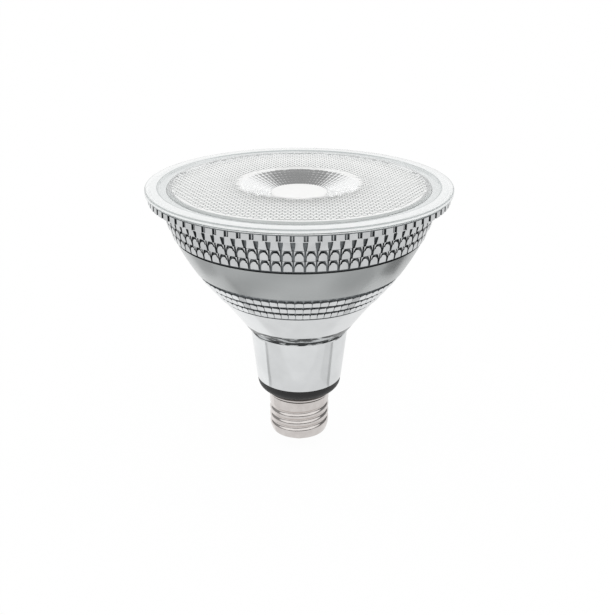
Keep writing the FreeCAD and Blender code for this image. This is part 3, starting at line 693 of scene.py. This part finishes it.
# %% [markdown]
# Under the dish lies a pressed bright ring of small cushions, seven rows of them.
# Each cushion mirrors a different bit of the room, so the ring goes from dark to
# white in dots. It is a spun cone whose faces are inset one by one and raised.
# %% Cushioned ring under the dish
bright_metal, shader = new_material("bright_metal", Metallic=1.0, Base_Color=colour("F6F7F7"))
join_nodes(bright_metal, between(bright_metal, grain(bright_metal, 1.5), 0.04, 0.1),
           shader.inputs["Roughness"])
RING_ROWS = 7
RING_COLUMNS = 68
RING_UNDER = 1.0
RING_INNER = 11.6
RING_OUTER = 23.7
CUSHION_STEPS = ((0.12, 0.027), (0.22, 0.027), (0.22, 0.012))
ring_slope = (DISH_LIP - DISH_FLOOR) / (DISH_RADIUS - WINDOW_HOLE)
ring_points = []
for step in range(RING_ROWS + 1):
    radius = RING_INNER + (RING_OUTER - RING_INNER) * step / RING_ROWS
    ring_points.append((radius, DISH_FLOOR - RING_UNDER + ring_slope * (radius - WINDOW_HOLE)))
ring = spin_piece("cushion_ring", ring_points, RING_COLUMNS, closed=False)
select_only(ring)
bpy.ops.object.mode_set(mode="EDIT")
bpy.ops.mesh.select_all(action="SELECT")
edit = bmesh.from_edit_mesh(ring.data)
if sum(face.normal.z for face in edit.faces) < 0:
    bpy.ops.mesh.flip_normals()
for thickness, depth in CUSHION_STEPS:
    bpy.ops.mesh.inset(thickness=thickness * MM, depth=depth * MM, use_individual=True)
bpy.ops.object.mode_set(mode="OBJECT")
ring.data.materials.append(bright_metal)
smooth(ring, 60)
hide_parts("dish_reflector")
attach(ring, "root")
print("cushion ring:", triangles(ring), "triangles")

# %% [markdown]
# The screw shell is thin nickelled brass with a round thread rolled into it. A tube
# is spun, and each of its rings is then pushed in as the rolling die would, deepest
# half way between two crests, with the groove fading in and out at its ends.
# %% Rolled screw shell
SHELL_BOTTOM = 5.0
SHELL_TOP = 25.9
FLARE_HEIGHT = 2.3
FLARE = 1.0
THREAD_RADIUS = 13.1
THREAD_DEPTH = 0.85
THREAD_PITCH = 3.629
CREST_HEIGHT = 20.4
LIP_HEIGHT = 4.4
END_RADIUS = 12.2
FADE_TURNS = 0.35
LAST_TURN = -0.62
FIRST_TURN = -4.0
SHELL_WALL = 0.35


def ease(amount):
    """0 below 0, 1 above 1, and a smooth rise between."""
    amount = min(max(amount, 0.0), 1.0)
    return amount * amount * (3.0 - 2.0 * amount)


def shell_radius(height, turn):
    """The rolled shell's radius at a height and a part of a turn."""
    rise = (height - CREST_HEIGHT) / THREAD_PITCH
    groove = math.floor(rise - turn)
    across = rise - turn - groove
    along = turn + groove
    depth = THREAD_DEPTH * (0.5 - 0.5 * math.cos(2.0 * math.pi * across)) ** 1.5
    depth *= ease((LAST_TURN - along) / FADE_TURNS)
    depth *= ease((along - FIRST_TURN) / FADE_TURNS)
    low = max(0.0, 1.0 - (height - SHELL_BOTTOM) / LIP_HEIGHT)
    taper = (THREAD_RADIUS - END_RADIUS) * low * low
    return THREAD_RADIUS - depth * (1.0 - low) - taper


flare_bottom = SHELL_TOP - FLARE_HEIGHT
LEVELS = 84
tube_line = [(THREAD_RADIUS, SHELL_BOTTOM + (flare_bottom - SHELL_BOTTOM) * step / LEVELS)
             for step in range(LEVELS + 1)]
rim_radius = THREAD_RADIUS + FLARE
tube_line += [(rim_radius - 0.5, flare_bottom + 0.1), (rim_radius - 0.15, flare_bottom + 0.45),
              (rim_radius, flare_bottom + 1.0), (rim_radius - 0.1, flare_bottom + 1.5),
              (rim_radius - 0.45, SHELL_TOP), (THREAD_RADIUS - SHELL_WALL, SHELL_TOP)]
shell = spin_piece("rolled_shell", tube_line, 96, closed=False)
for vertex in shell.data.vertices:
    height = vertex.co.z / MM
    angle = math.atan2(vertex.co.y, vertex.co.x)
    if height <= flare_bottom + 0.001:
        turn = (angle / (2 * math.pi) + 0.75) % 1.0 - 0.75
        radius = shell_radius(height, turn) * MM
        vertex.co.x = radius * math.cos(angle)
        vertex.co.y = radius * math.sin(angle)
select_only(shell)
bpy.ops.object.modifier_add(type="SOLIDIFY")
shell.modifiers[-1].thickness = SHELL_WALL * MM
shell.modifiers[-1].offset = -1.0
bpy.ops.object.modifier_apply(modifier=shell.modifiers[-1].name)
smooth(shell, 60)
print("shell:", triangles(shell), "triangles")

# %% [markdown]
# Nickel plate over brass is bright with a faint warm cast, and the rolling leaves
# fine rings and small scuffs, which show as changes in its gloss.
# %% Nickel plate
nickel_plate, shader = metal_film("nickel_plate", 3.0, ("DAD4D1", "E6E1DE"), (0.07, 0.12),
                                  detail=3.0)
bump(nickel_plate, shader, grain(nickel_plate, 3.0, 3.0), 0.05, 0.05)

# Close to the flare the plate is dull and painted dark: painted shade under the flare, and a
# painted shadow and reflection of the black collar on its upper part.
nickel_painted_shade, shader = metal_film("nickel_painted_shade", 3.0, ("4C4846", "6A6562"), (0.3, 0.45),
                                  detail=3.0)
for material in (nickel_plate, nickel_painted_shade):
    shell.data.materials.append(material)
SHADE_UNDER = (-0.75, 0.1)
SHADE_OVER = 1.2
# Faces just under the flare and on its upper part get the painted shade.
for face in shell.data.polygons:
    above = face.center.z / MM - flare_bottom
    shaded = SHADE_UNDER[0] < above < SHADE_UNDER[1] or above > SHADE_OVER
    face.material_index = 1 if shaded else 0
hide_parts("screw_shell")
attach(shell, "root")


# %% [markdown]
# The other CAD nodes have the right shape already, so they only get a finish. Most
# are moulded or coated: a colour that wanders slightly, a gloss that wanders with it
# and a fine skin texture. One function makes that family from a few real sizes.
# %% Moulded, coated and sleeved finishes
def moulded(name, dark, light, roughness, lump_mm, relief, metallic=0.0, coat=0.0):
    """A finish whose colour and gloss wander over lumps of a real size."""
    material, shader = new_material(name, Metallic=metallic, Coat_Weight=coat)
    lumps = grain(material, lump_mm, 3.0)
    join_nodes(material, ramp(material, lumps, [(0.3, dark), (0.7, light)]),
               shader.inputs["Base Color"])
    join_nodes(material, between(material, lumps, roughness * 0.85, roughness * 1.15),
               shader.inputs["Roughness"])
    bump(material, shader, grain(material, 0.35, 3.0), relief, 0.05)
    return material


FINISHES = {
    "centre_contact": moulded("tinned_brass", "A9A49A", "C4BFB4", 0.32, 0.9, 0.3, metallic=1.0),
    "base_insulator": moulded("black_vitrite_glass", "0B0B0D", "1A1A1D", 0.12, 2.0, 0.15,
                              coat=0.5),
    "base_collar": moulded("black_pbt", "080809", "101011", 0.5, 1.2, 0.25),
    "rim_seal": moulded("clear_silicone", "EDEFEF", "F6F7F7", 0.35, 1.0, 0.2),
    "centre_window": moulded("frosted_polycarbonate", "FBFBFA", "FEFEFD", 0.45, 2.0, 0.1,
                             coat=0.2),
    "inner_reflector": moulded("white_polycarbonate", "FAFAF9", "FEFEFD", 0.5, 3.0, 0.1),
    "led_phosphor": moulded("yellow_phosphor", "E3B52E", "F0CC4B", 0.55, 0.5, 0.4),
    "led_chip": moulded("white_alumina", "E6E6E0", "F3F3EF", 0.4, 0.8, 0.2),
    "led_board": moulded("white_solder_mask", "E4E6E4", "F2F3F1", 0.3, 2.0, 0.15, coat=0.3),
    "board_screws": moulded("zinc_plated_steel", "A7ABAE", "C6CACC", 0.3, 0.6, 0.2, metallic=1.0),
    "thermal_pad": moulded("grey_thermal_pad", "777C80", "8B9094", 0.8, 0.7, 0.5),
    "heat_sink": moulded("spun_aluminium", "BFC2C4", "D6D8DA", 0.3, 1.4, 0.25, metallic=1.0),
    "driver_sleeve": moulded("white_pbt_cup", "D9D8D2", "E7E6E1", 0.45, 2.0, 0.2),
    "driver_board": moulded("green_solder_mask", "0E4420", "15572B", 0.3, 1.5, 0.15, coat=0.4),
    "bridge_rectifier": moulded("black_epoxy", "17181A", "242527", 0.5, 0.5, 0.35),
    "control_chip": moulded("black_epoxy_chip", "1A1B1D", "26272A", 0.55, 0.4, 0.35),
    "power_transistor": moulded("black_epoxy_case", "151617", "222325", 0.48, 0.6, 0.35),
    "fuse_resistor": moulded("green_resistor_lacquer", "4F7F79", "5F928C", 0.35, 0.8, 0.2,
                             coat=0.4),
    "varistor": moulded("blue_dipped_epoxy", "12408A", "1C52A4", 0.25, 1.5, 0.15, coat=0.5),
    "film_capacitor": moulded("yellow_box_case", "C99A1E", "DBAE35", 0.4, 1.2, 0.2),
    "electrolytic_capacitor": moulded("navy_shrink_sleeve", "151B33", "1F2745", 0.25, 1.4, 0.1,
                                      coat=0.4),
    "transformer_core": moulded("grey_ferrite", "2A2A2C", "3B3B3D", 0.6, 0.5, 0.4),
    "transformer_winding": moulded("yellow_polyester_tape", "D9B02B", "EAC64C", 0.25, 1.8, 0.2,
                                   coat=0.3),
    "live_wire": moulded("black_pvc", "141415", "212122", 0.4, 0.9, 0.15),
    "neutral_wire": moulded("white_pvc", "DAD9D5", "E8E7E4", 0.4, 0.9, 0.15),
    "positive_lead": moulded("red_silicone_lead", "A5140F", "BD231C", 0.45, 0.9, 0.15),
    "negative_lead": moulded("black_silicone_lead", "171718", "242425", 0.45, 0.9, 0.15),
}
for name, finish in FINISHES.items():
    node = frame["nodes"][name]
    node.data.materials.clear()
    node.data.materials.append(finish)
print("finished CAD nodes:", len(FINISHES))

# %% [markdown]
# The studio: a white floor and an even white surround at a plain level. The floor is
# plain white to the eye and in mirrors, and matt paint to light that bounces off it.
# %% Floor and surround
FLOOR_LEVEL = -0.0002
FLOOR_GLOW = 0.97
bpy.ops.object.select_all(action="DESELECT")
bpy.ops.mesh.primitive_circle_add(vertices=96, radius=6.0, fill_type="NGON",
                                  location=(0, 0, FLOOR_LEVEL))
floor = bpy.context.object
floor.name = "studio_floor"
floor_paint, shader = new_material("white_sweep", Base_Color=colour("FDFDFD"), Roughness=0.9)
light_path = add_node(floor_paint, "ShaderNodeLightPath")
white = add_node(floor_paint, "ShaderNodeEmission", {"Color": (1, 1, 1, 1), "Strength": 1.0})
direct = add_node(floor_paint, "ShaderNodeMath", {"operation": "MAXIMUM"},
                  {0: light_path.outputs["Is Camera Ray"],
                   1: light_path.outputs["Is Transmission Ray"]})
seen = add_node(floor_paint, "ShaderNodeMath", {"operation": "MAXIMUM"},
                {0: direct.outputs[0], 1: light_path.outputs["Is Glossy Ray"]})
share = add_node(floor_paint, "ShaderNodeMath", {"operation": "MULTIPLY", 1: FLOOR_GLOW},
                 {0: seen.outputs[0]})
mix = add_node(floor_paint, "ShaderNodeMixShader", links={
    0: share.outputs[0], 1: shader.outputs[0], 2: white.outputs[0]})
join_nodes(floor_paint, mix.outputs[0], floor_paint.node_tree.nodes["Material Output"].inputs[0])
floor.data.materials.append(floor_paint)

world = bpy.data.worlds.new("studio")
bpy.context.scene.world = world
world.use_nodes = True
world.node_tree.nodes["Background"].inputs["Color"].default_value = (1, 1, 1, 1)
world.node_tree.nodes["Background"].inputs["Strength"].default_value = 1.0

# %% [markdown]
# Silvered glass and nickel show nothing but the room, so the room is made with cards
# that only mirror surfaces see. Those on the floor shade the neck and the cone from
# pale edges to a grey front. One high up behind the lamp darkens the ring under the
# dish, and three dark walls at the horizon draw the fine lines in the thread.
# %% Cards that only mirror surfaces see
def card(name, code, corners):
    """A flat studio card of one colour, seen in reflections and nowhere else."""
    sheet = bpy.data.meshes.new(name)
    sheet.from_pydata(corners, [], [tuple(range(len(corners)))])
    item = bpy.data.objects.new(name, sheet)
    bpy.context.collection.objects.link(item)
    paint, shader = new_material(name + "_paint", Base_Color=(0, 0, 0, 1), Roughness=1.0,
                                 Specular_IOR_Level=0.0, Emission_Color=colour(code),
                                 Emission_Strength=1.0)
    item.data.materials.append(paint)
    item.visible_camera = False
    item.visible_diffuse = False
    item.visible_shadow = False
    return item


PALE_LEVEL = -0.00015
GREY_LEVEL = -0.0001
CARD_LEVEL = -0.00005
EDGE_LEVEL = -0.00004
PALE_REACH = 3.0
GREY_HALF = [(0.03, -0.002), (0.05, 0.014), (0.056, -0.01), (0.094, -0.01), (0.1, 0.06),
             (0.9, 0.9), (2.0, -2.0)]
PALE_HALF = [(0.0, -PALE_REACH), (PALE_REACH, -PALE_REACH), (PALE_REACH, PALE_REACH),
             (0.0, PALE_REACH)]
EDGE_HALF = [(0.055, -0.018), (0.096, -0.018), (0.096, -0.008), (0.055, -0.009)]
FLOOR_CARDS = (
    ("grey_card", "E4E4E4", GREY_LEVEL, GREY_HALF + [(-x, y) for x, y in reversed(GREY_HALF)]),
    ("pale_left", "F8F8F8", PALE_LEVEL, [(-x, y) for x, y in PALE_HALF]),
    ("pale_right", "EBEBEB", PALE_LEVEL, PALE_HALF),
    ("left_card", "B4B4B4", CARD_LEVEL,
     [(-0.1, 0.0), (-0.15, 0.0), (-0.17, 0.08), (-0.105, 0.06)]),
    ("edge_card", "C0C0C0", EDGE_LEVEL, [(-x, y) for x, y in EDGE_HALF]),
    ("edge_card", "BABABA", EDGE_LEVEL, EDGE_HALF),
    ("shade_card", "DADADA", CARD_LEVEL,
     [(0.05, -0.04), (0.12, -0.05), (0.096, -0.018), (0.055, -0.018)]),
    ("front_card", "EBEBEB", CARD_LEVEL,
     [(-0.08, -0.062), (0.055, -0.062), (0.09, -0.13), (-0.12, -0.13)]),
    ("right_card", "8E8E8E", CARD_LEVEL,
     [(0.1, 0.0), (0.15, 0.0), (0.17, 0.08), (0.105, 0.06)]),
)
for name, code, level, corners in FLOOR_CARDS:
    card(name, code, [(x, y, level) for x, y in corners])

CARD_RISE = math.radians(57)
CARD_AWAY = 1.2
HIGH_CARD = [(-0.26, -0.42), (0.26, -0.42), (0.8, 0.75), (-0.8, 0.75)]
card("dark_card", "949494",
     [(across, CARD_AWAY * math.cos(CARD_RISE) - up * math.sin(CARD_RISE),
       CARD_AWAY * math.sin(CARD_RISE) + up * math.cos(CARD_RISE) + RIM_TOP * MM)
      for across, up in HIGH_CARD])

WALL_FOOT = 0.07
WALL_HEAD = 0.8
WALLS = (("front_wall", "1C1C1C", (-1.5, -1.5), (1.5, -1.5)),
         ("right_wall", "787878", (1.5, -1.5), (1.5, 1.8)),
         ("left_wall", "949494", (-1.5, 1.8), (-1.5, -1.5)))
for name, code, first, last in WALLS:
    card(name, code, [(*first, WALL_FOOT), (*last, WALL_FOOT),
                      (*last, WALL_HEAD), (*first, WALL_HEAD)])
print("cards:", len(FLOOR_CARDS) + 1 + len(WALLS))

# %% [markdown]
# The camera was fitted to the ellipses of the rim and the neck and to the lines of
# the thread: where it stands, how far it looks down, and its focal length in pixels.
# %% Camera
PICTURE_WIDTH = 615
FOCAL_LENGTH = 841
SENSOR_WIDTH = 36
LOOK_DOWN = 24.92
bpy.ops.object.camera_add(location=(0, -0.3287, 0.2047),
                          rotation=(math.radians(90 - LOOK_DOWN), 0, 0))
camera = bpy.context.object
camera.data.lens = FOCAL_LENGTH / PICTURE_WIDTH * SENSOR_WIDTH
camera.data.sensor_width = SENSOR_WIDTH
camera.data.shift_x = 0.0135
camera.data.shift_y = 0.0366
bpy.context.scene.camera = camera
bpy.context.scene.view_settings.view_transform = "Standard"
